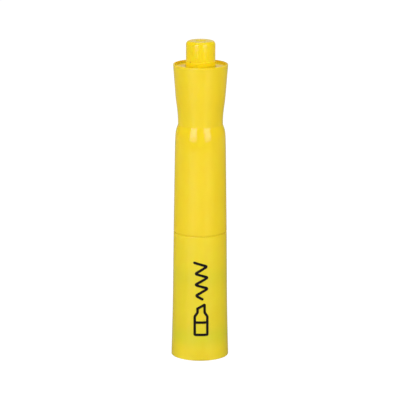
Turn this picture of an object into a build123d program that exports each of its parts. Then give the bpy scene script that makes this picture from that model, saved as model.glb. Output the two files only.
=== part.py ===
from build123d import *
from math import radians, tan
import os

# Retractable highlighter, standing on its wide nose end, button up.
# Z is the axis of the barrel, and z = 0 is the flat face that it stands on.
# Everything is drawn at rest: button out, nib parked inside. Millimetres.

os.makedirs("parts", exist_ok=True)

# ---------------------------------------------------------------- outside
base_radius = 12.15
base_round = 0.25
flare_curve = [(12.01, 5.3), (11.85, 12.0), (11.70, 18.0)]
flare_radius = 11.56
flare_height = 26.0
joint_radius = 11.27
joint_height = 53.9
joint_gap = 0.4
edge_round = 0.2
seam_step = 0.4

shoulder_radius = 10.75
shoulder_height = 90.8
shoulder_curve = [(10.62, 95.1), (10.40, 97.3), (9.95, 99.0)]
neck_radius = 9.48
neck_height = 100.3
neck_lean = (-0.3, 1)
waist_curve = [(9.55, 103.7), (9.99, 108.0)]
cup_radius = 10.53
cup_height = 112.5
rim_radius = 11.58
rim_height = 126.15
rim_round = 0.3
mouth_radius = 10.95
mouth_round = 0.2

# ---------------------------------------------------------------- button
button_radius = 6.17
button_skirt_radius = 6.3
button_step = 0.1
button_step_height = 127.4
button_height = 135.9
button_round = 1.3
button_round_height = 1.5
button_dimple_radius = 2.1
button_dimple_depth = 0.15
button_stroke = 9.5
cartridge_stroke = 8.5

# ---------------------------------------------------------------- nose
standing_ring_inner = 8.6
nose_dish = 0.4
nose_hole = 3.6
valve_seat = 1.0
valve_seat_radius = 5.4
nose_floor = 2.0
valve_rim = 0.6
valve_bevel = 0.1
valve_film_bottom = 0.1
valve_film_top = 0.4
valve_slit_length = 6.4
valve_slit_width = 0.06
valve_ring_bore = 4.35
shell_bore = 9.6
socket_bore = 10.0
socket_height = 45.5

# ---------------------------------------------------------------- fits
fit = 0.05
spindle_fit = 0.08
loose_fit = 0.15
overlap = 0.2
lead_in = 0.3
chamfer = 0.2

# ---------------------------------------------------------------- nib chamber
nozzle_flange_radius = 9.5
nozzle_flange_top = 3.6
nozzle_bore = 4.45
nozzle_radius = 5.9
nozzle_top = 20.0
gland_radius = 5.3
gland_floor = 17.5
seal_top = 19.0
seal_mouth = 4.6
seal_lip = 0.6
seal_cap_top = 21.0

# ---------------------------------------------------------------- nib and cartridge
nib_width = 5.0
nib_depth = 3.4
nib_corner = 0.8
nib_tip = 2.4
nib_shoulder = 14.0
nib_stem_radius = 1.65
nib_stem_top = 38.0
nib_edge = 1.1
nib_bevel = 3.2
nib_slant = 2.2
holder_radius = 4.2
holder_bottom = 10.8
holder_taper = 0.5
holder_taper_height = 0.8
holder_flange = 30.5
tube_bottom = 31.5
tube_radius = 7.0
tube_bore = 5.95
tube_top = 96.0
filler_radius = 5.6
filler_bottom = 35.0
filler_top = 92.0
wrap_thickness = 0.15
plug_depth = 2.0
plug_top = 97.5
spindle_radius = 2.2
spindle_head_radius = 2.6
spindle_head_gap = 0.1
spindle_top = 106.3

# ---------------------------------------------------------------- click mechanism
tooth_count = 8
tooth_slope = 0.42
tooth_room = 2.0
crown_radius = 6.2
crown_bore = 4.5
rotor_bottom = 97.6
rotor_top = 108.2
rotor_hub_top = 105.5
rotor_hub_radius = 3.5
rotor_pocket_radius = 5.0
rotor_web = 1.5
mesh_gap = 0.25
mesh_slip = button_stroke - cartridge_stroke
plunger_teeth = rotor_top + mesh_gap + mesh_slip
plunger_body = plunger_teeth + tooth_room
key_radius = 7.1
key_bottom = 114.0
key_top = 123.8
key_angle = 43
latch_angle = 18
latch_height = 6.0
groove_count = 4
groove_angle = 45
turn = 360 / tooth_count / 2
latch_start = groove_angle - turn / 2
sleeve_radius = 8.0
sleeve_bore = 7.3
sleeve_top = 121.5
sleeve_rib_radius = 6.45
sleeve_rib_angle = 43
collar_bottom = 124.0
collar_top = 125.2
collar_hole = 6.45
collar_ledge = 10.0
plunger_neck_radius = 4.8
plunger_neck_top = 131.0
plunger_bore = 3.6
button_wall = 1.6
neck_bore = 8.05
neck_ledge_radius = 7.35
neck_ledge_height = 99.0
neck_ledge_taper = 1.4
neck_bore_top = 105.3
barrel_bore = 8.7
spigot_radius = 9.95
spigot_bottom = 46.0
bead_height = 49.5
bead_size = 0.15
bead_foot = 0.4
bead_groove = 0.2
bead_groove_floor = 0.3
bead_groove_mouth = 0.6
guide_top = 50.0
guide_flange_radius = 9.9
guide_channel_count = 4
guide_channel_radius = 0.7

# ---------------------------------------------------------------- spring
spring_radius = 7.0
wire_radius = 0.35
spring_pitch = 4.0
spring_gap = 0.02


def wedge(angle):
    """The corners of a wedge of that angle, pointing at the axis and centred on +X."""
    near = spindle_radius
    far = 2 * sleeve_radius
    slope = tan(radians(angle / 2))
    return (near, -near * slope), (far, -far * slope), (far, far * slope), (near, near * slope)


# ================================================================ shells

with BuildPart() as front_shell:
    with BuildSketch(Plane.XZ):
        with BuildLine():
            Polyline(
                (nose_hole, nose_dish),
                (standing_ring_inner - nose_dish, nose_dish),
                (standing_ring_inner, 0),
                (base_radius - base_round, 0),
            )
            CenterArc((base_radius - base_round, base_round), base_round, -90, 90)
            flare = Spline(
                (base_radius, base_round),
                *flare_curve,
                (flare_radius, flare_height),
                tangents=[(0, 1), (joint_radius - flare_radius, joint_height - flare_height)],
            )
            Line(flare @ 1, (joint_radius, joint_height - edge_round))
            CenterArc((joint_radius - edge_round, joint_height - edge_round), edge_round, 0, 90)
            Polyline(
                (joint_radius - edge_round, joint_height),
                (socket_bore, joint_height),
                (socket_bore, bead_height + bead_groove_mouth),
                (socket_bore + bead_groove, bead_height + bead_groove_floor),
                (socket_bore + bead_groove, bead_height - bead_groove_floor),
                (socket_bore, bead_height - bead_groove_mouth),
                (socket_bore, socket_height),
                (shell_bore, socket_height),
                (shell_bore, nose_floor),
                (valve_seat_radius, nose_floor),
                (valve_seat_radius, valve_seat),
                (nose_hole, valve_seat),
                (nose_hole, nose_dish),
            )
        make_face()
    revolve(axis=Axis.Z)
front_shell.part.label = "front_shell"
export_step(front_shell.part, "parts/front_shell.step")

with BuildPart() as rear_barrel:
    with BuildSketch(Plane.XZ):
        with BuildLine():
            barrel_bottom = joint_height + joint_gap
            Polyline(
                (barrel_bore, spigot_bottom),
                (spigot_radius - chamfer, spigot_bottom),
                (spigot_radius, spigot_bottom + lead_in),
                (spigot_radius, bead_height - bead_foot),
                (spigot_radius + bead_size, bead_height - bead_size),
                (spigot_radius + bead_size, bead_height + bead_size),
                (spigot_radius, bead_height + bead_foot),
                (spigot_radius, joint_height),
                (joint_radius - seam_step, joint_height),
                (joint_radius - seam_step, barrel_bottom),
                (joint_radius - edge_round, barrel_bottom),
            )
            CenterArc((joint_radius - edge_round, barrel_bottom + edge_round), edge_round, -90, 90)
            side = Line((joint_radius, barrel_bottom + edge_round), (shoulder_radius, shoulder_height))
            shoulder = Spline(
                side @ 1,
                *shoulder_curve,
                (neck_radius, neck_height),
                tangents=[side % 1, neck_lean],
            )
            waist = Spline(
                shoulder @ 1,
                *waist_curve,
                (cup_radius, cup_height),
                tangents=[(0, 1), (rim_radius - cup_radius, rim_height - rim_round - cup_height)],
            )
            Line(waist @ 1, (rim_radius, rim_height - rim_round))
            CenterArc((rim_radius - rim_round, rim_height - rim_round), rim_round, 0, 90)
            Line((rim_radius - rim_round, rim_height), (mouth_radius + mouth_round, rim_height))
            CenterArc((mouth_radius + mouth_round, rim_height - mouth_round), mouth_round, 90, 90)
            Polyline(
                (mouth_radius, rim_height - mouth_round),
                (mouth_radius, collar_bottom),
                (collar_ledge, collar_bottom),
                (neck_bore, neck_bore_top),
                (neck_bore, neck_height),
                (neck_ledge_radius, neck_height),
                (neck_ledge_radius, neck_ledge_height),
                (barrel_bore, neck_ledge_height - neck_ledge_taper),
                (barrel_bore, spigot_bottom),
            )
        make_face()
    revolve(axis=Axis.Z)
rear_barrel.part.label = "rear_barrel"
export_step(rear_barrel.part, "parts/rear_barrel.step")

# The floor of the cup. Its skirt holds the cam sleeve down.
with BuildPart() as end_collar:
    with BuildSketch(Plane.XZ):
        with BuildLine():
            Polyline(
                (collar_hole, collar_bottom),
                (collar_hole, collar_top - chamfer),
                (collar_hole + chamfer, collar_top),
                (mouth_radius - fit, collar_top),
                (mouth_radius - fit, collar_bottom),
                (sleeve_radius, collar_bottom),
                (sleeve_radius, sleeve_top),
                (neck_ledge_radius, sleeve_top),
                (neck_ledge_radius, collar_bottom),
                close=True,
            )
        make_face()
    revolve(axis=Axis.Z)
end_collar.part.label = "end_collar"
export_step(end_collar.part, "parts/end_collar.step")

# Keeps the cartridge central. Its flange is clamped where the two shells join.
with BuildPart() as guide_ring:
    with BuildSketch(Plane.XZ):
        with BuildLine():
            Polyline(
                (tube_radius + loose_fit, socket_height),
                (guide_flange_radius, socket_height),
                (guide_flange_radius, spigot_bottom),
                (barrel_bore - fit, spigot_bottom),
                (barrel_bore - fit, guide_top),
                (tube_radius + loose_fit, guide_top),
                close=True,
            )
        make_face()
    revolve(axis=Axis.Z)
    # air channels along the bore
    with BuildSketch(Plane.XY.offset(socket_height)):
        with PolarLocations(tube_radius + loose_fit, guide_channel_count):
            Circle(guide_channel_radius)
    extrude(amount=guide_top - socket_height, mode=Mode.SUBTRACT)
guide_ring.part.label = "guide_ring"
export_step(guide_ring.part, "parts/guide_ring.step")

# ================================================================ nib chamber

with BuildPart() as nozzle:
    with BuildSketch(Plane.XZ):
        with BuildLine():
            Polyline(
                (nozzle_bore, nose_floor),
                (nozzle_flange_radius, nose_floor),
                (nozzle_flange_radius, nozzle_flange_top),
                (nozzle_radius, nozzle_flange_top),
                (nozzle_radius, nozzle_top),
                (gland_radius, nozzle_top),
                (gland_radius, gland_floor),
                (nozzle_bore, gland_floor),
                close=True,
            )
        make_face()
    revolve(axis=Axis.Z)
nozzle.part.label = "nozzle"
export_step(nozzle.part, "parts/nozzle.step")

# A thick rim and a thin middle with a cross cut through it.
with BuildPart() as slit_valve:
    with BuildSketch(Plane.XZ):
        with BuildLine():
            Polyline(
                (0, valve_seat + valve_film_bottom),
                (nose_hole, valve_seat + valve_film_bottom),
                (nose_hole + valve_bevel, valve_seat),
                (valve_seat_radius - fit, valve_seat),
                (valve_seat_radius - fit, valve_seat + valve_rim),
                (nose_hole + lead_in, valve_seat + valve_rim),
                (nose_hole, valve_seat + valve_film_top),
                (0, valve_seat + valve_film_top),
                close=True,
            )
        make_face()
    revolve(axis=Axis.Z)
    with BuildSketch(Plane.XY.offset(valve_seat)):
        Rectangle(valve_slit_length, valve_slit_width)
        Rectangle(valve_slit_width, valve_slit_length)
    extrude(amount=valve_rim, mode=Mode.SUBTRACT)
slit_valve.part.label = "slit_valve"
export_step(slit_valve.part, "parts/slit_valve.step")

with BuildPart() as valve_ring:
    with BuildSketch(Plane.XY.offset(valve_seat + valve_rim)):
        Circle(valve_seat_radius - fit)
        Circle(valve_ring_bore, mode=Mode.SUBTRACT)
    extrude(amount=nose_floor - valve_seat - valve_rim)
valve_ring.part.label = "valve_ring"
export_step(valve_ring.part, "parts/valve_ring.step")

with BuildPart() as wiper_seal:
    with BuildSketch(Plane.XZ):
        with BuildLine():
            Polyline(
                (gland_radius - fit, gland_floor),
                (gland_radius - fit, seal_top),
                (seal_mouth, seal_top),
                (holder_radius + fit, seal_top - seal_lip),
                (holder_radius + fit, gland_floor + seal_lip),
                (seal_mouth, gland_floor),
                close=True,
            )
        make_face()
    revolve(axis=Axis.Z)
wiper_seal.part.label = "wiper_seal"
export_step(wiper_seal.part, "parts/wiper_seal.step")

with BuildPart() as seal_cap:
    with BuildSketch(Plane.XZ):
        with BuildLine():
            Polyline(
                (nozzle_bore, seal_top),
                (gland_radius - fit, seal_top),
                (gland_radius - fit, nozzle_top),
                (nozzle_radius, nozzle_top),
                (nozzle_radius, seal_cap_top - lead_in),
                (nozzle_radius - lead_in, seal_cap_top),
                (nozzle_bore, seal_cap_top),
                close=True,
            )
        make_face()
    revolve(axis=Axis.Z)
seal_cap.part.label = "seal_cap"
export_step(seal_cap.part, "parts/seal_cap.step")

# Stands on the nozzle's flange and pushes on the nib holder's flange.
spring_bottom = nozzle_flange_top + wire_radius + spring_gap
spring_top = holder_flange - wire_radius - spring_gap
with BuildPart() as return_spring:
    with BuildLine():
        coil = Helix(spring_pitch, spring_top - spring_bottom, spring_radius, center=(0, 0, spring_bottom))
    with BuildSketch(Plane(origin=coil @ 0, z_dir=coil % 0)):
        Circle(wire_radius)
    sweep(path=coil, is_frenet=True)
return_spring.part.label = "return_spring"
export_step(return_spring.part, "parts/return_spring.step")

# ================================================================ cartridge

# A chisel: bevelled on both broad faces, and cut off at a slant.
with BuildPart() as chisel_nib:
    with BuildSketch(Plane.XY.offset(nib_tip)):
        RectangleRounded(nib_width, nib_depth, nib_corner)
    extrude(amount=nib_shoulder - nib_tip)
    with BuildSketch(Plane.YZ):
        with BuildLine():
            Polyline(
                (-nib_edge / 2, nib_tip),
                (nib_edge / 2, nib_tip),
                (nib_depth / 2, nib_tip + nib_bevel),
                (nib_depth / 2, nib_shoulder),
                (-nib_depth / 2, nib_shoulder),
                (-nib_depth / 2, nib_tip + nib_bevel),
                close=True,
            )
        make_face()
    extrude(amount=nib_width, both=True, mode=Mode.INTERSECT)
    with BuildSketch(Plane.XZ):
        with BuildLine():
            Polyline(
                (-nib_width / 2, nib_tip),
                (nib_width / 2, nib_tip + nib_slant),
                (nib_width / 2, nib_shoulder),
                (-nib_width / 2, nib_shoulder),
                close=True,
            )
        make_face()
    extrude(amount=nib_depth, both=True, mode=Mode.INTERSECT)
    with BuildSketch(Plane.XY.offset(nib_shoulder)):
        Circle(nib_stem_radius)
    extrude(amount=nib_stem_top - nib_shoulder)
chisel_nib.part.label = "chisel_nib"
export_step(chisel_nib.part, "parts/chisel_nib.step")

# The long snout slides in the wiper seal, and the flange carries the spring.
stem_bore = nib_stem_radius + fit
with BuildPart() as nib_holder:
    with BuildSketch(Plane.XZ):
        with BuildLine():
            Polyline(
                (stem_bore, holder_bottom),
                (holder_radius - holder_taper, holder_bottom),
                (holder_radius, holder_bottom + holder_taper_height),
                (holder_radius, holder_flange),
                (tube_radius, holder_flange),
                (tube_radius, tube_bottom),
                (tube_bore - fit, tube_bottom),
                (tube_bore - fit, filler_bottom),
                (stem_bore, filler_bottom),
                close=True,
            )
        make_face()
    revolve(axis=Axis.Z)
    with BuildSketch(Plane.XY.offset(holder_bottom)):
        RectangleRounded(nib_width + 2 * fit, nib_depth + 2 * fit, nib_corner + fit)
    extrude(amount=nib_shoulder - holder_bottom, mode=Mode.SUBTRACT)
nib_holder.part.label = "nib_holder"
export_step(nib_holder.part, "parts/nib_holder.step")

with BuildPart() as cartridge_tube:
    with BuildSketch(Plane.XY.offset(tube_bottom)):
        Circle(tube_radius)
        Circle(tube_bore, mode=Mode.SUBTRACT)
    extrude(amount=tube_top - tube_bottom)
cartridge_tube.part.label = "cartridge_tube"
export_step(cartridge_tube.part, "parts/cartridge_tube.step")

with BuildPart() as ink_filler:
    with BuildSketch(Plane.XY.offset(filler_bottom)):
        Circle(filler_radius)
    extrude(amount=filler_top - filler_bottom)
    with BuildSketch(Plane.XY.offset(filler_bottom)):
        Circle(stem_bore)
    extrude(amount=nib_stem_top - filler_bottom, mode=Mode.SUBTRACT)
ink_filler.part.label = "ink_filler"
export_step(ink_filler.part, "parts/ink_filler.step")

with BuildPart() as filler_wrap:
    with BuildSketch(Plane.XY.offset(filler_bottom)):
        Circle(filler_radius + fit + wrap_thickness)
        Circle(filler_radius + fit, mode=Mode.SUBTRACT)
    extrude(amount=filler_top - filler_bottom)
filler_wrap.part.label = "filler_wrap"
export_step(filler_wrap.part, "parts/filler_wrap.step")

# Closes the tube. The rotor turns on its spindle, under the snap head.
with BuildPart() as cartridge_plug:
    with BuildSketch(Plane.XZ):
        with BuildLine():
            Polyline(
                (0, tube_top - plug_depth),
                (tube_bore - fit, tube_top - plug_depth),
                (tube_bore - fit, tube_top),
                (tube_radius, tube_top),
                (tube_radius, plug_top),
                (spindle_radius, plug_top),
                (spindle_radius, rotor_hub_top + spindle_head_gap),
                (spindle_head_radius, rotor_hub_top + spindle_head_gap),
                (spindle_radius, spindle_top),
                (0, spindle_top),
                close=True,
            )
        make_face()
    revolve(axis=Axis.Z)
cartridge_plug.part.label = "cartridge_plug"
export_step(cartridge_plug.part, "parts/cartridge_plug.step")

# ================================================================ click mechanism

# One 45 degree sector of a crown, as a block, and the slanted plane that cuts it.
with BuildPart() as tooth_block:
    with BuildSketch(Plane.XY):
        Circle(crown_radius)
        Circle(crown_bore, mode=Mode.SUBTRACT)
        Polygon((0, 0), (2 * crown_radius, 0), (2 * crown_radius, 2 * crown_radius), align=None, mode=Mode.INTERSECT)
    extrude(amount=tooth_room)

tooth_face = Plane(origin=(0, 0, 0), x_dir=(1, 0, 0), z_dir=(0, -tooth_slope, 1))

with BuildPart() as rotor_tooth:
    add(tooth_block.part)
    split(bisect_by=tooth_face, keep=Keep.BOTTOM)

with BuildPart() as plunger_tooth:
    add(tooth_block.part)
    split(bisect_by=tooth_face, keep=Keep.TOP)

# Teeth on top, half a tooth behind the plunger's at rest. Four latches run in the sleeve's grooves.
with BuildPart() as cam_rotor:
    with BuildSketch(Plane.XZ):
        with BuildLine():
            Polyline(
                (spindle_radius + spindle_fit, rotor_bottom),
                (rotor_hub_radius, rotor_bottom),
                (rotor_hub_radius, rotor_hub_top - rotor_web),
                (rotor_pocket_radius, rotor_hub_top - rotor_web),
                (rotor_pocket_radius, rotor_bottom),
                (crown_radius, rotor_bottom),
                (crown_radius, rotor_top),
                (crown_bore, rotor_top),
                (crown_bore, rotor_hub_top),
                (spindle_radius + spindle_fit, rotor_hub_top),
                close=True,
            )
        make_face()
    revolve(axis=Axis.Z)
    with Locations((0, 0, rotor_top)):
        with PolarLocations(0, tooth_count, start_angle=-turn):
            add(rotor_tooth.part)
    with BuildSketch(Plane.XY.offset(rotor_top - latch_height)):
        with PolarLocations(0, groove_count, start_angle=latch_start):
            Polygon(*wedge(latch_angle), align=None)
        Circle(key_radius, mode=Mode.INTERSECT)
        Circle(crown_radius - overlap, mode=Mode.SUBTRACT)
    extrude(amount=latch_height)
cam_rotor.part.label = "cam_rotor"
export_step(cam_rotor.part, "parts/cam_rotor.step")

# Four ribs stand inside the sleeve. The grooves between them guide the keys and the latches.
with BuildPart() as cam_sleeve:
    with BuildSketch(Plane.XY.offset(neck_height)):
        Circle(sleeve_radius)
        Circle(sleeve_bore, mode=Mode.SUBTRACT)
    extrude(amount=sleeve_top - neck_height)
    with BuildSketch(Plane.XY.offset(neck_height)):
        with PolarLocations(0, groove_count):
            Polygon(*wedge(sleeve_rib_angle), align=None)
        Circle(sleeve_bore + overlap, mode=Mode.INTERSECT)
        Circle(sleeve_rib_radius, mode=Mode.SUBTRACT)
    extrude(amount=sleeve_top - neck_height)
cam_sleeve.part.label = "cam_sleeve"
export_step(cam_sleeve.part, "parts/cam_sleeve.step")

# Its keys stop under the end collar, and its narrow neck is pressed into the button.
with BuildPart() as cam_plunger:
    with BuildSketch(Plane.XZ):
        with BuildLine():
            Polyline(
                (crown_bore, plunger_body),
                (crown_radius, plunger_body),
                (crown_radius, key_top),
                (plunger_neck_radius, key_top),
                (plunger_neck_radius, plunger_neck_top),
                (plunger_bore, plunger_neck_top),
                (plunger_bore, key_bottom),
                (crown_bore, key_bottom),
                close=True,
            )
        make_face()
    revolve(axis=Axis.Z)
    with Locations((0, 0, plunger_teeth)):
        with PolarLocations(0, tooth_count):
            add(plunger_tooth.part)
    with BuildSketch(Plane.XY.offset(key_bottom)):
        with PolarLocations(0, groove_count, start_angle=groove_angle):
            Polygon(*wedge(key_angle), align=None)
        Circle(key_radius, mode=Mode.INTERSECT)
        Circle(crown_radius - overlap, mode=Mode.SUBTRACT)
    extrude(amount=key_top - key_bottom)
cam_plunger.part.label = "cam_plunger"
export_step(cam_plunger.part, "parts/cam_plunger.step")

with BuildPart() as push_button:
    with BuildSketch(Plane.XZ):
        with BuildLine():
            Polyline(
                (plunger_neck_radius + fit, key_top),
                (button_skirt_radius, key_top),
                (button_skirt_radius, button_step_height - button_step),
                (button_radius, button_step_height),
                (button_radius, button_height - button_round_height),
            )
            EllipticalCenterArc(
                (button_radius - button_round, button_height - button_round_height),
                button_round,
                button_round_height,
                start_angle=0,
                arc_size=90,
            )
            Polyline(
                (button_radius - button_round, button_height),
                (button_dimple_radius, button_height),
                (button_dimple_radius - button_dimple_depth, button_height - button_dimple_depth),
                (0, button_height - button_dimple_depth),
                (0, button_height - button_wall),
                (plunger_bore, button_height - button_wall),
                (plunger_bore, plunger_neck_top),
                (plunger_neck_radius + fit, plunger_neck_top),
                (plunger_neck_radius + fit, key_top),
            )
        make_face()
    revolve(axis=Axis.Z)
push_button.part.label = "push_button"
export_step(push_button.part, "parts/push_button.step")
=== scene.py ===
import math

import bmesh
import bpy
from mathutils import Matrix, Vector


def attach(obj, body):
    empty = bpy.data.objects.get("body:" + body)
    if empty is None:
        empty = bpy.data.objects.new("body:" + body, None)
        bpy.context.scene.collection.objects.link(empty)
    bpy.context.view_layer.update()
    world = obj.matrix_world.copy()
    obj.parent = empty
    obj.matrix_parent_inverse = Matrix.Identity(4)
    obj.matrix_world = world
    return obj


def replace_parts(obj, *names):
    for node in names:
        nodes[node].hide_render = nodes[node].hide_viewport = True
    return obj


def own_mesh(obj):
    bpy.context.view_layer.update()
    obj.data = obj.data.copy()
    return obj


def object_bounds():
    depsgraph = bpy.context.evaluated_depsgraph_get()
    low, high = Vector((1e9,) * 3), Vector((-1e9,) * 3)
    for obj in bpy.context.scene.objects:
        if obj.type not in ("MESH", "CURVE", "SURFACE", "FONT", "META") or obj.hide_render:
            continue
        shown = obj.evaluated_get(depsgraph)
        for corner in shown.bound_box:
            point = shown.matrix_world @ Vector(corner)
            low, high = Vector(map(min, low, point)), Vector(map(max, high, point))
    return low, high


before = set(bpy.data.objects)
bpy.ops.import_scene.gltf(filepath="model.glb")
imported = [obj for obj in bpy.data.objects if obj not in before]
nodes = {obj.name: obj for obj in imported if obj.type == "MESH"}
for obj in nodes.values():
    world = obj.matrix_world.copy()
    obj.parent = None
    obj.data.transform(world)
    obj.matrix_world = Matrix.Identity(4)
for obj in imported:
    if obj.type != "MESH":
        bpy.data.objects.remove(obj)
cad_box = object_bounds()
MM = 0.001


# ------------------------------------------------------------------ material helpers

NOISE_RANGE = 0.3, 0.7  # where nearly all of a noise texture's values lie


def map_range(tree, value, low, high, out_low, out_high):
    """Maps a socket's low..high to out_low..out_high, and stops there."""
    node = tree.nodes.new("ShaderNodeMapRange")
    tree.links.new(value, node.inputs["Value"])
    node.inputs["From Min"].default_value = low
    node.inputs["From Max"].default_value = high
    node.inputs["To Min"].default_value = out_low
    node.inputs["To Max"].default_value = out_high
    return node.outputs[0]


class Nodes:
    """A material's node tree, with short calls for what these materials use."""

    def __init__(self, name):
        self.material = bpy.data.materials.new(name)
        self.material.use_nodes = True
        self.tree = self.material.node_tree
        self.shader = self.tree.nodes["Principled BSDF"]
        self.place = self.tree.nodes.new("ShaderNodeTexCoord").outputs["Object"]

    def link(self, source, target):
        self.tree.links.new(source, target)

    def put(self, value, socket):
        """Links a socket, or sets a plain value."""
        if isinstance(value, bpy.types.NodeSocket):
            self.link(value, socket)
        else:
            socket.default_value = value

    def stretched(self, x, y, z):
        """The object's own place, scaled on each axis."""
        node = self.tree.nodes.new("ShaderNodeVectorMath")
        node.operation = "MULTIPLY"
        self.link(self.place, node.inputs[0])
        node.inputs[1].default_value = (x, y, z)
        return node.outputs[0]

    def noise(self, scale, detail=3.0, roughness=0.55, where=None):
        """Cloudy noise, nearly all of it in NOISE_RANGE."""
        node = self.tree.nodes.new("ShaderNodeTexNoise")
        node.inputs["Scale"].default_value = scale
        node.inputs["Detail"].default_value = detail
        node.inputs["Roughness"].default_value = roughness
        self.link(where or self.place, node.inputs["Vector"])
        return node.outputs["Fac"]

    def math(self, operation, a, b=0.0):
        node = self.tree.nodes.new("ShaderNodeMath")
        node.operation = operation
        self.put(a, node.inputs[0])
        self.put(b, node.inputs[1])
        return node.outputs[0]

    def span(self, value, low, high, out_low=0.0, out_high=1.0):
        """Maps low..high to out_low..out_high, and stops there."""
        return map_range(self.tree, value, low, high, out_low, out_high)

    def ramp(self, value, stops):
        """A smooth run of colours, from stops of (position from 0 to 1, colour)."""
        node = self.tree.nodes.new("ShaderNodeValToRGB")
        band = node.color_ramp
        band.interpolation = "CARDINAL"
        while len(band.elements) < len(stops):
            band.elements.new(0.5)
        for element, (position, colour) in zip(band.elements, stops):
            element.position = position
            element.color = (*colour, 1)
        self.put(value, node.inputs["Fac"])
        return node.outputs["Color"]

    def mix(self, amount, a, b, blend="MIX"):
        """Colour a where amount is 0, and colour b where it is 1."""
        node = self.tree.nodes.new("ShaderNodeMix")
        node.data_type = "RGBA"
        node.blend_type = blend
        self.put(amount, node.inputs["Factor"])
        for value, socket in ((a, node.inputs[6]), (b, node.inputs[7])):
            self.put((*value, 1) if isinstance(value, tuple) else value, socket)
        return node.outputs[2]

    def axis(self, name):
        """One coordinate of the object's own place, in metres."""
        node = self.tree.nodes.new("ShaderNodeSeparateXYZ")
        self.link(self.place, node.inputs[0])
        return node.outputs[name]

    def reach(self):
        """How far the object's own place is from its upright axis, in metres."""
        squares = [self.math("POWER", self.axis(name), 2.0) for name in "XY"]
        return self.math("SQRT", self.math("ADD", *squares))

    def bump(self, height, strength, distance):
        """Small unevenness of the surface, at most a distance deep in metres."""
        node = self.tree.nodes.new("ShaderNodeBump")
        node.inputs["Strength"].default_value = strength
        node.inputs["Distance"].default_value = distance
        self.link(height, node.inputs["Height"])
        self.link(node.outputs[0], self.shader.inputs["Normal"])

    def finish(self, **values):
        """Sets the shader's own sockets, by name with underscores for spaces."""
        for name, value in values.items():
            self.put(value, self.shader.inputs[name.replace("_", " ")])
        return self.material


def srgb(red, green, blue):
    """Linear colour from 0..255 display values."""
    def one(v):
        v = v / 255
        return v / 12.92 if v <= 0.04045 else ((v + 0.055) / 1.055) ** 2.4
    return one(red), one(green), one(blue)


def paint(material, *names):
    """Gives CAD nodes a material."""
    for name in names:
        mesh = nodes[name].data
        mesh.materials.clear()
        mesh.materials.append(material)


# ------------------------------------------------------------------ outer shells

def polished_yellow(name, light, deep, subsurface, roughness, depth=1.2, painted_shade_bands=None, marks_and_painted_shade=None, matt=None):
    """Moulded fluorescent plastic: cloudy pigment, faint flow lines along the barrel, a near-mirror skin.
    Depth is how far light spreads in it, in mm. Painted shade bands tint it by height, as (height in mm,
    (red, green, blue)): painted shade, darker and greener where the inner parts would shade the see-through
    shell.
    Marks and painted shade tint it too, as a function of the nodes that gives the amount, and a tint. Matt is
    such a function for where its skin is rough."""
    n = Nodes(name)
    cloud = n.noise(90, 4)
    flow = n.noise(1, 3, 0.5, n.stretched(900, 900, 25))
    pigment = n.math("ADD", n.math("MULTIPLY", cloud, 0.75), n.math("MULTIPLY", flow, 0.25))
    colour = n.mix(n.span(pigment, *NOISE_RANGE), deep, light)
    # painted shade: darker, greener bands by height where inner parts would shade the shell
    if painted_shade_bands:
        top = painted_shade_bands[-1][0]
        share = n.math("DIVIDE", n.axis("Z"), top * MM)
        tint = n.ramp(share, [(height / top, rgb) for height, rgb in painted_shade_bands])
        colour = n.mix(1.0, colour, tint, "MULTIPLY")
    if marks_and_painted_shade:
        amount, tint = marks_and_painted_shade
        colour = n.mix(amount(n), colour, tint, "MULTIPLY")
    n.link(colour, n.shader.inputs["Base Color"])
    skin = n.span(n.noise(400, 5), *NOISE_RANGE, roughness - 0.01, roughness + 0.02)
    if matt:
        skin = n.math("MAXIMUM", skin, n.math("MULTIPLY", matt(n), MATT_ROUGHNESS))
    n.link(skin, n.shader.inputs["Roughness"])
    n.bump(n.math("ADD", n.noise(2600, 3), n.math("MULTIPLY", flow, 1.5)), 0.05, 0.02 * MM)
    return n.finish(Subsurface_Weight=subsurface, Subsurface_Radius=(1.0, 0.55, 0.06),
                    Subsurface_Scale=depth * MM, IOR=1.49, Specular_IOR_Level=0.5)


MATT_ROUGHNESS = 0.6
YELLOW = srgb(252, 225, 41), srgb(250, 220, 35)
SHELL_YELLOW = srgb(254, 228, 47), srgb(252, 223, 42)
BUTTON_YELLOW = srgb(255, 228, 30), srgb(254, 223, 26)
# painted shade: a darker tint on the wall round the recess in the top of the barrel
MOUTH_PAINTED_SHADE = (0.92, 0.90, 1.0)
GATE_TINT = (0.80, 0.66, 0.7)
# the gate mark's middle, and the radii between which it fades, in mm
GATE = (-4.3, -4.6, 127.4)
GATE_INNER, GATE_OUTER = 0.2, 0.55
# radius, soft edge and lowest height of the mouth's painted shade and of the button's dimple, in mm
MOUTH = (11.02, 0.1, 123.0)
DIMPLE = (2.1, 0.2, 135.0)
SOFT_RISE = 0.5
# painted shade on the front shell by height in mm: darker greenish bands where the inner parts would shade
# the see-through shell, and slightly darker low down
SHELL_PAINTED_SHADE_BANDS = [
    (0.0, (0.92, 0.98, 1.0)),
    (4.5, (0.92, 0.985, 1.0)),
    (9.7, (0.81, 0.965, 1.0)),
    (15.5, (0.876, 0.965, 1.0)),
    (25.0, (0.893, 0.975, 1.0)),
    (31.0, (0.892, 0.975, 1.0)),
    (35.8, (0.856, 0.970, 1.0)),
    (41.0, (0.91, 0.985, 1.0)),
    (47.0, (0.945, 0.99, 1.0)),
    (54.0, (0.965, 0.99, 1.0)),
]


def upper_core(n, radius, edge, low):
    """1 near the axis and above a height, and 0 elsewhere. Both limits are soft."""
    near = n.span(n.reach(), (radius + edge) * MM, radius * MM)
    return n.math("MULTIPLY", near, n.span(n.axis("Z"), low * MM, (low + SOFT_RISE) * MM))


def painted_shade_in_mouth(n):
    """1 on the wall round the recess in the top of the barrel, and below it, where the recess gets painted
    shade.
    """
    return upper_core(n, *MOUTH)


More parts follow.
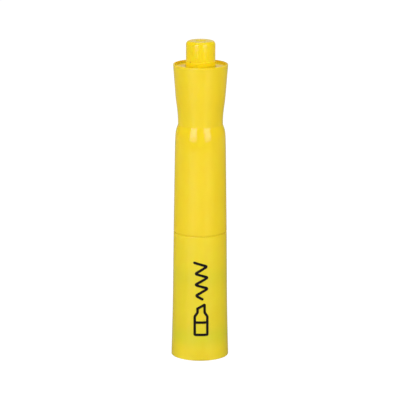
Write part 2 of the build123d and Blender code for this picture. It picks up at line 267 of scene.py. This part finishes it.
def gate_mark(n):
    """1 in a small darker spot low on the button, such as a moulding gate leaves."""
    away = n.tree.nodes.new("ShaderNodeVectorMath")
    away.operation = "DISTANCE"
    n.link(n.place, away.inputs[0])
    away.inputs[1].default_value = [part * MM for part in GATE]
    return n.span(away.outputs["Value"], GATE_OUTER * MM, GATE_INNER * MM)


def in_dimple(n):
    """1 in the shallow round hollow in the button's top."""
    return upper_core(n, *DIMPLE)


# the barrel's top recess gets painted shade
paint(polished_yellow("barrel_yellow", *YELLOW, subsurface=0.25, roughness=0.04,
                      marks_and_painted_shade=(painted_shade_in_mouth, MOUTH_PAINTED_SHADE)), "rear_barrel")
paint(polished_yellow("collar_yellow", *YELLOW, subsurface=0.4, roughness=0.16, depth=2.5), "end_collar")
# the front shell gets painted shade bands by height
paint(polished_yellow("shell_yellow", *SHELL_YELLOW, subsurface=0.3, roughness=0.08,
                      painted_shade_bands=SHELL_PAINTED_SHADE_BANDS), "front_shell")
paint(polished_yellow("button_yellow", *BUTTON_YELLOW, subsurface=0.35, roughness=0.05, depth=2.0,
                      marks_and_painted_shade=(gate_mark, GATE_TINT), matt=in_dimple), "push_button")


# ------------------------------------------------------------------ inner parts

def moulded(name, light, deep, roughness, subsurface=0.2, grain=1500, depth=0.02):
    """Plain moulded plastic or rubber, slightly cloudy, with a fine spark-eroded skin, its depth in mm."""
    n = Nodes(name)
    n.link(n.mix(n.span(n.noise(140, 4), *NOISE_RANGE), deep, light), n.shader.inputs["Base Color"])
    skin = n.span(n.noise(500, 4), *NOISE_RANGE, roughness - 0.05, roughness + 0.07)
    n.link(skin, n.shader.inputs["Roughness"])
    n.bump(n.noise(grain, 4), 0.12, depth * MM)
    return n.finish(Subsurface_Weight=subsurface, Subsurface_Radius=(1.0, 0.9, 0.75),
                    Subsurface_Scale=1.0 * MM, IOR=1.48)


def fibrous(name, light, deep, along):
    """Felt or bonded fibre: strands that run up the part, inked unevenly. Along is how often they vary."""
    n = Nodes(name)
    strands = n.noise(1, 5, 0.65, n.stretched(6500, 6500, along))
    patches = n.noise(260, 3)
    ink = n.math("ADD", n.math("MULTIPLY", strands, 0.6), n.math("MULTIPLY", patches, 0.4))
    n.link(n.mix(n.span(ink, 0.35, 0.65), deep, light), n.shader.inputs["Base Color"])
    n.link(n.span(strands, *NOISE_RANGE, 0.8, 0.98), n.shader.inputs["Roughness"])
    n.bump(strands, 0.5, 0.06 * MM)
    return n.finish(Subsurface_Weight=0.15, Subsurface_Radius=(1.0, 0.8, 0.2), Subsurface_Scale=0.4 * MM)


def drawn_steel():
    """Spring wire: cloudy grey steel, warmer where it is darker, and unevenly smooth."""
    n = Nodes("spring_steel")
    cloud = n.span(n.noise(700, 4), *NOISE_RANGE)
    n.link(n.mix(cloud, (0.50, 0.48, 0.45), (0.62, 0.61, 0.60)), n.shader.inputs["Base Color"])
    n.link(n.span(n.noise(1800, 3), *NOISE_RANGE, 0.22, 0.36), n.shader.inputs["Roughness"])
    n.bump(n.noise(4000, 3), 0.1, 0.01 * MM)
    return n.finish(Metallic=1.0)


paint(moulded("acetal_white", (0.78, 0.77, 0.73), (0.73, 0.72, 0.68), roughness=0.32),
      "cam_plunger", "cam_sleeve", "cam_rotor", "cartridge_plug", "nib_holder", "guide_ring")
paint(moulded("polypropylene_milky", (0.74, 0.75, 0.70), (0.68, 0.70, 0.64), roughness=0.28, subsurface=0.4),
      "cartridge_tube")
paint(moulded("chamber_natural", (0.70, 0.71, 0.68), (0.63, 0.64, 0.61), roughness=0.38),
      "nozzle", "seal_cap", "valve_ring")
rubber = moulded("silicone_grey", (0.20, 0.20, 0.205), (0.15, 0.15, 0.155), roughness=0.62, subsurface=0.1,
                 grain=2200, depth=0.04)
paint(rubber, "wiper_seal")
paint(fibrous("ink_fibre", (0.80, 0.86, 0.05), (0.62, 0.74, 0.02), along=110), "ink_filler")
paint(fibrous("nib_felt", (0.84, 0.86, 0.07), (0.70, 0.76, 0.04), along=260), "chisel_nib")
paint(moulded("wrap_film", (0.80, 0.81, 0.80), (0.74, 0.76, 0.75), roughness=0.18, subsurface=0.3),
      "filler_wrap")


# ------------------------------------------------------------------ mesh helpers

def round_steps(steps):
    """Evenly spaced angles, once round."""
    return [2 * math.pi * k / steps for k in range(steps)]


def finished(build, name):
    """Turns a bmesh into a mesh."""
    mesh = bpy.data.meshes.new(name)
    build.to_mesh(mesh)
    build.free()
    return mesh


def piece(name, mesh, material, body):
    """Puts a finished mesh in the scene, as a piece of one body."""
    made = bpy.data.objects.new(name, mesh)
    bpy.context.scene.collection.objects.link(made)
    mesh.materials.append(material)
    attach(made, body)
    return made


# ------------------------------------------------------------------ return spring

def tube(points, radius, sides):
    """A round wire with closed ends along points. Each ring starts on the side away from the axis, so that
    the wire doesn't twist."""
    build = bmesh.new()
    rings = []
    for i, point in enumerate(points):
        ahead = (points[min(i + 1, len(points) - 1)] - points[max(i - 1, 0)]).normalized()
        out = Vector((point.x, point.y, 0)).normalized()
        out = (out - ahead * out.dot(ahead)).normalized()
        up = ahead.cross(out)
        rings.append([build.verts.new(point + radius * (math.cos(a) * out + math.sin(a) * up))
                      for a in round_steps(sides)])
    for low, high in zip(rings, rings[1:]):
        for k in range(sides):
            build.faces.new((low[k], low[(k + 1) % sides], high[(k + 1) % sides], high[k]))
    build.faces.new(list(reversed(rings[0])))
    build.faces.new(rings[-1])
    for face in build.faces:
        face.smooth = len(face.verts) == 4
    return finished(build, "wire")


SPRING_LOW, SPRING_HIGH = 3.6 * MM, 30.5 * MM
SPRING_RADIUS, WIRE = 7.0 * MM, 0.35 * MM
SPRING_TURNS, CLOSED_TURNS = 8.7, 1.0
SPRING_STEPS, WIRE_SIDES = 40, 10
SPRING_GAP = 0.04 * MM


def spring_points():
    """A helix whose first and last turns lie closed, one wire apart."""
    closed_rise = CLOSED_TURNS * (2 * WIRE + SPRING_GAP)
    low, high = SPRING_LOW + WIRE + SPRING_GAP, SPRING_HIGH - WIRE - SPRING_GAP
    open_turns = SPRING_TURNS - 2 * CLOSED_TURNS
    points = []
    for i in range(round(SPRING_TURNS * SPRING_STEPS) + 1):
        turn = i / SPRING_STEPS
        if turn < CLOSED_TURNS:
            z = low + closed_rise * turn / CLOSED_TURNS
        elif turn > SPRING_TURNS - CLOSED_TURNS:
            z = high - closed_rise * (SPRING_TURNS - turn) / CLOSED_TURNS
        else:
            share = (turn - CLOSED_TURNS) / open_turns
            z = low + closed_rise + share * (high - low - 2 * closed_rise)
        angle = 2 * math.pi * turn
        points.append(Vector((SPRING_RADIUS * math.cos(angle), SPRING_RADIUS * math.sin(angle), z)))
    return points


spring_mesh = tube(spring_points(), WIRE, WIRE_SIDES)
spring = piece("return_spring_wire", spring_mesh, drawn_steel(), "body")
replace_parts(spring, "return_spring")
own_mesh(spring)


# ------------------------------------------------------------------ slit valve

VALVE_HOLE, VALVE_RIM = 3.6 * MM, 5.35 * MM
VALVE_LOW, VALVE_HIGH = 1.0 * MM, 1.6 * MM
PETAL_LOW, PETAL_HIGH = 1.1 * MM, 1.4 * MM
PETAL_GAP = 0.04 * MM
VALVE_BEVEL = 0.1 * MM
PETAL_STEPS, RIM_STEPS = 16, 96


def valve_rim():
    """The thick ring that is clamped in the nose, revolved from its section."""
    section = [(VALVE_HOLE, VALVE_LOW + VALVE_BEVEL), (VALVE_HOLE + VALVE_BEVEL, VALVE_LOW),
               (VALVE_RIM, VALVE_LOW), (VALVE_RIM, VALVE_HIGH),
               (VALVE_HOLE + 3 * VALVE_BEVEL, VALVE_HIGH), (VALVE_HOLE, PETAL_HIGH)]
    build = bmesh.new()
    rings = [[build.verts.new((r * math.cos(a), r * math.sin(a), z)) for r, z in section]
             for a in round_steps(RIM_STEPS)]
    count = len(section)
    for k in range(RIM_STEPS):
        here, there = rings[k], rings[(k + 1) % RIM_STEPS]
        for i in range(count):
            build.faces.new((here[i], there[i], there[(i + 1) % count], here[(i + 1) % count]))
    bmesh.ops.recalc_face_normals(build, faces=build.faces)
    return finished(build, "valve_rim")


def petal(quarter):
    """One quarter of the valve's thin middle, between two slits, and the direction it points out in."""
    start = quarter * math.pi / 2
    middle = start + math.pi / 4
    inner = math.sqrt(2) * PETAL_GAP
    side = math.asin(PETAL_GAP / VALVE_HOLE)
    outline = [(inner * math.cos(middle), inner * math.sin(middle))]
    for k in range(PETAL_STEPS + 1):
        angle = start + side + (math.pi / 2 - 2 * side) * k / PETAL_STEPS
        outline.append((VALVE_HOLE * math.cos(angle), VALVE_HOLE * math.sin(angle)))
    build = bmesh.new()
    low = [build.verts.new((x, y, PETAL_LOW)) for x, y in outline]
    high = [build.verts.new((x, y, PETAL_HIGH)) for x, y in outline]
    build.faces.new(list(reversed(low)))
    build.faces.new(high)
    for k in range(len(outline)):
        after = (k + 1) % len(outline)
        build.faces.new((low[k], low[after], high[after], high[k]))
    return finished(build, f"valve_petal_{quarter + 1}"), Vector((math.cos(middle), math.sin(middle), 0))


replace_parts(piece("slit_valve_rim", valve_rim(), rubber, "body"), "slit_valve")
for quarter in range(4):
    mesh, outward = petal(quarter)
    leaf = piece(f"slit_valve_petal_{quarter + 1}", mesh, rubber, "body")
    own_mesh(leaf)


# ------------------------------------------------------------------ printed mark

INK_UP, INK_DOWN = 0.02 * MM, -0.03 * MM
STROKE_STEP = 0.35 * MM
STROKE_WIDTH = 1.12 * MM
BEND_STEPS, CAP_STEPS = 8, 6
RAY_START = 100 * MM


def surface_radius(height):
    """How far the front shell's outside is from the axis, at a height."""
    place = nodes["front_shell"].ray_cast(Vector((0, -RAY_START, height)), Vector((0, 1, 0)))[1]
    return -place.y


def left_of(ahead):
    """The direction to the left of another one."""
    return Vector((-ahead.y, ahead.x))


def round_end(tip, away, left, half):
    """Pairs of points round an end of a stroke, from its full width to near its tip."""
    pairs = []
    for k in range(1, CAP_STEPS + 1):
        angle = math.pi / 2 * k / (CAP_STEPS + 0.5)
        pairs.append((tip + half * (math.sin(angle) * away + math.cos(angle) * left),
                      tip + half * (math.sin(angle) * away - math.cos(angle) * left)))
    return pairs


def stroke_outline(points, width):
    """Left and right edges of a stroke with round ends, as pairs of points."""
    half = width / 2
    back = (points[0] - points[1]).normalized()
    onward = (points[-1] - points[-2]).normalized()
    pairs = round_end(points[0], back, left_of(-back), half)[::-1]
    for i, point in enumerate(points):
        ahead = (points[min(i + 1, len(points) - 1)] - points[max(i - 1, 0)]).normalized()
        pairs.append((point + half * left_of(ahead), point - half * left_of(ahead)))
    return pairs + round_end(points[-1], onward, left_of(onward), half)


def rounded(corners, radius):
    """A path past corners, each replaced by a smooth bend that starts and ends a radius away from it."""
    path = [corners[0]]
    for before, corner, after in zip(corners, corners[1:], corners[2:]):
        start = corner + (before - corner).normalized() * radius
        end = corner + (after - corner).normalized() * radius
        for k in range(BEND_STEPS + 1):
            t = k / BEND_STEPS
            path.append(start * (1 - t) ** 2 + corner * 2 * t * (1 - t) + end * t ** 2)
    path.append(corners[-1])
    fine = []
    for a, b in zip(path, path[1:]):
        parts = max(1, math.ceil((b - a).length / STROKE_STEP))
        fine += [a.lerp(b, k / parts) for k in range(parts)]
    return fine + [path[-1]]


def film(name, pairs):
    """A thin layer of ink on the shell, from pairs of points across and up, in metres."""
    build = bmesh.new()

    def lay(point, rise):
        radius = surface_radius(point.y)
        angle = point.x / radius
        reach = radius + rise
        return build.verts.new((reach * math.sin(angle), -reach * math.cos(angle), point.y))

    rows = [[lay(p, rise) for p in (left, left.lerp(right, 0.5), right) for rise in (INK_UP, INK_DOWN)]
            for left, right in pairs]
    # each row holds the upper and the lower point at the left, the middle and the right
    loop = (0, 2, 4, 5, 3, 1)
    for here, there in zip(rows, rows[1:]):
        for a, b in zip(loop, loop[1:] + loop[:1]):
            build.faces.new((here[a], there[a], there[b], here[b]))
    for row in (rows[0], rows[-1]):
        build.faces.new([row[k] for k in (0, 2, 3, 1)])
        build.faces.new([row[k] for k in (2, 4, 5, 3)])
    bmesh.ops.recalc_face_normals(build, faces=build.faces)
    return finished(build, name)


def printed_ink():
    """Black ink, nearly matt."""
    n = Nodes("printed_ink")
    black = n.mix(n.noise(900, 4), (0.004, 0.003, 0.003), (0.009, 0.006, 0.005))
    n.link(black, n.shader.inputs["Base Color"])
    n.link(n.span(n.noise(700, 3), *NOISE_RANGE, 0.5, 0.6), n.shader.inputs["Roughness"])
    n.bump(n.noise(3000, 3), 0.1, 0.01 * MM)
    return n.finish(Specular_IOR_Level=0.12)


def mm(*pairs):
    """Points across and up, from millimetres."""
    return [Vector(pair) * MM for pair in pairs]


# A scribble above, and the outline of a chisel nib that draws it, in mm across and up the shell.
SCRIBBLE = mm((-2.4, 42.8), (3.1, 41.2), (-2.1, 38.0), (3.4, 36.4), (-2.1, 33.2), (3.4, 31.6), (-1.8, 28.5),
              (1.0, 27.0))
NIB_SHAPE = mm((-1.0, 22.9), (2.0, 24.6), (2.0, 21.2), (3.2, 19.4), (3.2, 11.4), (-2.2, 11.4), (-2.2, 19.4),
               (-1.0, 21.2), (-1.0, 22.5))
NIB_BAND = mm((-2.2, 16.8), (3.2, 16.8))
SCRIBBLE_BEND, NIB_BEND = 0.9 * MM, 0.35 * MM

ink_black = printed_ink()
for name, corners, bend in (("scribble", SCRIBBLE, SCRIBBLE_BEND), ("nib", NIB_SHAPE, NIB_BEND),
                            ("band", NIB_BAND, 0)):
    outline = stroke_outline(rounded(corners, bend), STROKE_WIDTH)
    piece(f"print_{name}", film(name, outline), ink_black, "body")


# ------------------------------------------------------------------ stage, lights and camera

CENTRE = Vector((0, 0, (cad_box[0][2] + cad_box[1][2]) / 2))

# painted light on the floor, as greys by azimuth: pools of light painted in front where the softboxes would
# light it, and painted shade at the sides and behind. 0 is in front, and positive is to the right
FLOOR_PAINTED_LIGHT = [(-180, 0.22), (-100, 0.26), (-62, 0.40), (-37, 0.80), (-14, 0.60), (2, 0.46), (14, 0.52),
               (34, 0.70), (58, 0.36), (95, 0.22), (180, 0.22)]
# the floor's grey away from the object, beyond the painted light, and how far out the change starts and ends
FLOOR_FAR = (0.45, 0.45, 0.45)
FLOOR_CHANGE = 0.38, 0.58
FLOOR_CLOUD = (0.5, 0.5, 0.5)
FLOOR_HOLE, FLOOR_RADIUS, FLOOR_DROP = 11.8 * MM, 3.0, 0.02 * MM
FLOOR_STEPS = 64
# the backdrop's brightness, and the share of it in how the camera sees the floor
WHITE, FLOOR_GLOW = 1.12, 0.93

# the room's brightness in front of the object and behind it, as light and as what gloss shows
ROOM_FRONT, ROOM_BACK = 0.38, 0.78
ROOM_DEPTH = -0.9, 0.9
GLOSS_AROUND, GLOSS_BEHIND = 0.12, 0.6
GLOSS_DEPTH = 0.80, 0.95
ROOM_COLOUR = (1.0, 0.92, 0.84)

# lamp colours: what gloss shows is bluer than what lights the object, so that highlights on yellow are pale
COOL, WARM, GLEAM = (0.94, 0.95, 1.0), (1.0, 0.95, 0.90), (0.45, 0.55, 1.0)
# upright lamps, in metres: how far from the axis they stand, and how much nearer those stand that gloss shows
LAMP_DISTANCE, LAMP_STEP = 0.55, 0.01
# the heights of their feet, of their skirts' tops and of their tops
LAMP_FOOT, SKIRT_TOP, LAMP_TOP, GLEAM_TOP, BACK_TOP = 0.04, 0.105, 0.43, 0.53, 0.35
FILL_WIDTH = 0.35
# a gleam is turned to the left of the lamp that it stands for, is narrower, and its skirt is dimmer
GLEAM_TURN, GLEAM_NARROWING, GLEAM_FADE = 3.5, 0.93, 0.6


def floor_ring():
    """A wide floor just under the object, with a hole under its foot that lets light reach the underside."""
    build = bmesh.new()
    inner, outer = [[build.verts.new((radius * math.cos(a), radius * math.sin(a), -FLOOR_DROP))
                     for a in round_steps(FLOOR_STEPS)]
                    for radius in (FLOOR_HOLE, FLOOR_RADIUS)]
    for k in range(FLOOR_STEPS):
        after = (k + 1) % FLOOR_STEPS
        build.faces.new((inner[k], outer[k], outer[after], inner[after]))
    floor = bpy.data.objects.new("floor", finished(build, "floor"))
    bpy.context.scene.collection.objects.link(floor)
    return floor


def pale_floor():
    """Paper with painted light: two pools of light painted in front where the softboxes would light it, and
    painted shade at the sides and behind, which the glossy barrel mirrors. The camera sees it mostly as plain
    white, and sees through it from below."""
    floor = floor_ring()
    n = Nodes("floor_paper")
    azimuth = n.math("ARCTAN2", n.axis("X"), n.math("MULTIPLY", n.axis("Y"), -1.0))
    # painted light: pools of light and painted shade on the floor, by azimuth
    floor_with_painted_light = n.ramp(n.math("ADD", n.math("DIVIDE", azimuth, 2 * math.pi), 0.5),
                   [(0.5 + degrees / 360, (grey,) * 3) for degrees, grey in FLOOR_PAINTED_LIGHT])
    floor_with_painted_light = n.mix(n.span(n.reach(), *FLOOR_CHANGE), floor_with_painted_light, FLOOR_FAR)
    cloud = n.span(n.noise(8), *NOISE_RANGE, 0.0, 0.03)
    n.link(n.mix(cloud, floor_with_painted_light, FLOOR_CLOUD), n.shader.inputs["Base Color"])
    n.finish(Roughness=1.0, Specular_IOR_Level=0.0)
    tree = n.tree
    glow = tree.nodes.new("ShaderNodeEmission")
    glow.inputs["Strength"].default_value = WHITE
    path = tree.nodes.new("ShaderNodeLightPath")
    blend = tree.nodes.new("ShaderNodeMixShader")
    n.link(n.math("MULTIPLY", path.outputs["Is Camera Ray"], FLOOR_GLOW), blend.inputs[0])
    n.link(n.shader.outputs[0], blend.inputs[1])
    n.link(glow.outputs[0], blend.inputs[2])
    below = tree.nodes.new("ShaderNodeMixShader")
    n.link(tree.nodes.new("ShaderNodeNewGeometry").outputs["Backfacing"], below.inputs[0])
    n.link(blend.outputs[0], below.inputs[1])
    n.link(tree.nodes.new("ShaderNodeBsdfTransparent").outputs[0], below.inputs[2])
    n.link(below.outputs[0], tree.nodes["Material Output"].inputs["Surface"])
    floor.data.materials.append(n.material)


def softbox(name, place, aim, width, height, radiance, colour=(1, 1, 1), mirrored=True, lights=True):
    """A rectangular lamp of a given radiance, where 1 shows as plain white. A lamp that isn't mirrored only
    lights the object, and one that doesn't light it only shows in its gloss."""
    light = bpy.data.lights.new(name, "AREA")
    light.shape = "RECTANGLE"
    light.size = width
    light.size_y = height
    light.energy = radiance * math.pi * width * height
    light.color = colour
    lamp = bpy.data.objects.new(name, light)
    lamp.location = place
    lamp.rotation_euler = (aim - place).to_track_quat("-Z", "Y").to_euler()
    lamp.visible_camera = False
    lamp.visible_glossy = mirrored
    lamp.visible_diffuse = lights
    bpy.context.scene.collection.objects.link(lamp)


def standing_softbox(name, azimuth, width, low, high, radiance, colour, mirrored=True, lights=True):
    """An upright lamp near the object, from one height to another, which faces the object's axis.
    Azimuth 0 is straight in front, and positive is to the right."""
    turn = math.radians(azimuth)
    height = Vector((0, 0, (low + high) / 2))
    # a lamp that is mirrored stands just in front of one that isn't, which would hide it
    distance = LAMP_DISTANCE - (LAMP_STEP if mirrored else 0)
    place = height + distance * Vector((math.sin(turn), -math.cos(turn), 0))
    softbox(name, place, height, width, high - low, radiance, colour, mirrored, lights)


def surroundings():
    """A dim warm room, brighter behind the object. What gloss shows of it is darker, apart from a patch
    straight behind the object, and the camera sees a plain white backdrop instead."""
    world = bpy.data.worlds.new("studio")
    bpy.context.scene.world = world
    world.use_nodes = True
    tree = world.node_tree
    room = tree.nodes["Background"]
    direction = tree.nodes.new("ShaderNodeTexCoord").outputs["Generated"]
    split = tree.nodes.new("ShaderNodeSeparateXYZ")
    tree.links.new(direction, split.inputs[0])
    depth = split.outputs["Y"]
    path = tree.nodes.new("ShaderNodeLightPath")
    strength = tree.nodes.new("ShaderNodeMix")
    tree.links.new(path.outputs["Is Glossy Ray"], strength.inputs[0])
    tree.links.new(map_range(tree, depth, *ROOM_DEPTH, ROOM_FRONT, ROOM_BACK), strength.inputs[2])
    tree.links.new(map_range(tree, depth, *GLOSS_DEPTH, GLOSS_AROUND, GLOSS_BEHIND), strength.inputs[3])
    tree.links.new(strength.outputs[0], room.inputs["Strength"])
    room.inputs["Color"].default_value = (*ROOM_COLOUR, 1)
    backdrop = tree.nodes.new("ShaderNodeBackground")
    backdrop.inputs["Color"].default_value = (1, 1, 1, 1)
    backdrop.inputs["Strength"].default_value = WHITE
    blend = tree.nodes.new("ShaderNodeMixShader")
    tree.links.new(path.outputs["Is Camera Ray"], blend.inputs[0])
    tree.links.new(room.outputs[0], blend.inputs[1])
    tree.links.new(backdrop.outputs[0], blend.inputs[2])
    tree.links.new(blend.outputs[0], tree.nodes["World Output"].inputs["Surface"])


def front_lamps(side, azimuth, width, main, skirt, gleam, colour):
    """A softbox in front and to one side, with a dimmer skirt below it, and what gloss shows in its place."""
    skirt_span, main_span = (LAMP_FOOT, SKIRT_TOP), (SKIRT_TOP, LAMP_TOP)
    standing_softbox(f"softbox_{side}", azimuth, width, *main_span, main, colour, mirrored=False)
    standing_softbox(f"softbox_{side}_skirt", azimuth, width, *skirt_span, skirt, colour, mirrored=False)
    azimuth -= GLEAM_TURN
    width *= GLEAM_NARROWING
    standing_softbox(f"gleam_{side}", azimuth, width, SKIRT_TOP, GLEAM_TOP, gleam, GLEAM, lights=False)
    standing_softbox(f"gleam_{side}_skirt", azimuth, width, *skirt_span, gleam * GLEAM_FADE, GLEAM,
                     lights=False)


pale_floor()
surroundings()
front_lamps("left", azimuth=-29.5, width=0.34, main=3.11, skirt=1.85, gleam=4.0, colour=COOL)
front_lamps("right", azimuth=37.5, width=0.32, main=2.82, skirt=1.55, gleam=3.7, colour=WARM)
for side, azimuth, top, radiance in (("left", -110, LAMP_TOP, 1.6), ("right", 110, LAMP_TOP, 0.85),
                                     ("back", 180, BACK_TOP, 1.2)):
    standing_softbox(f"fill_{side}", azimuth, FILL_WIDTH, LAMP_FOOT, top, radiance, WARM, mirrored=False)
softbox("overhead", Vector((0, -0.15, 1.0)), CENTRE, width=0.9, height=0.7, radiance=0.75,
        colour=(1.0, 0.95, 0.93))

FOCAL_MM, SENSOR_MM = 245.8, 36
PITCH, ROLL = math.radians(13.0), math.radians(0.165)
SHIFT_RIGHT, SHIFT_UP = -0.0006, 0.0020
CAMERA_PLACE = (0, -1.1287, 0.3277)
CLIP_END = 20

camera = bpy.data.objects.new("camera", bpy.data.cameras.new("camera"))
camera.data.lens = FOCAL_MM
camera.data.sensor_width = SENSOR_MM
camera.data.shift_x = SHIFT_RIGHT
camera.data.shift_y = SHIFT_UP
camera.data.clip_end = CLIP_END
camera.location = CAMERA_PLACE
camera.rotation_mode = "ZYX"
camera.rotation_euler = (math.pi / 2 - PITCH, 0, ROLL)
bpy.context.scene.collection.objects.link(camera)
bpy.context.scene.camera = camera
bpy.context.scene.view_settings.view_transform = "Standard"
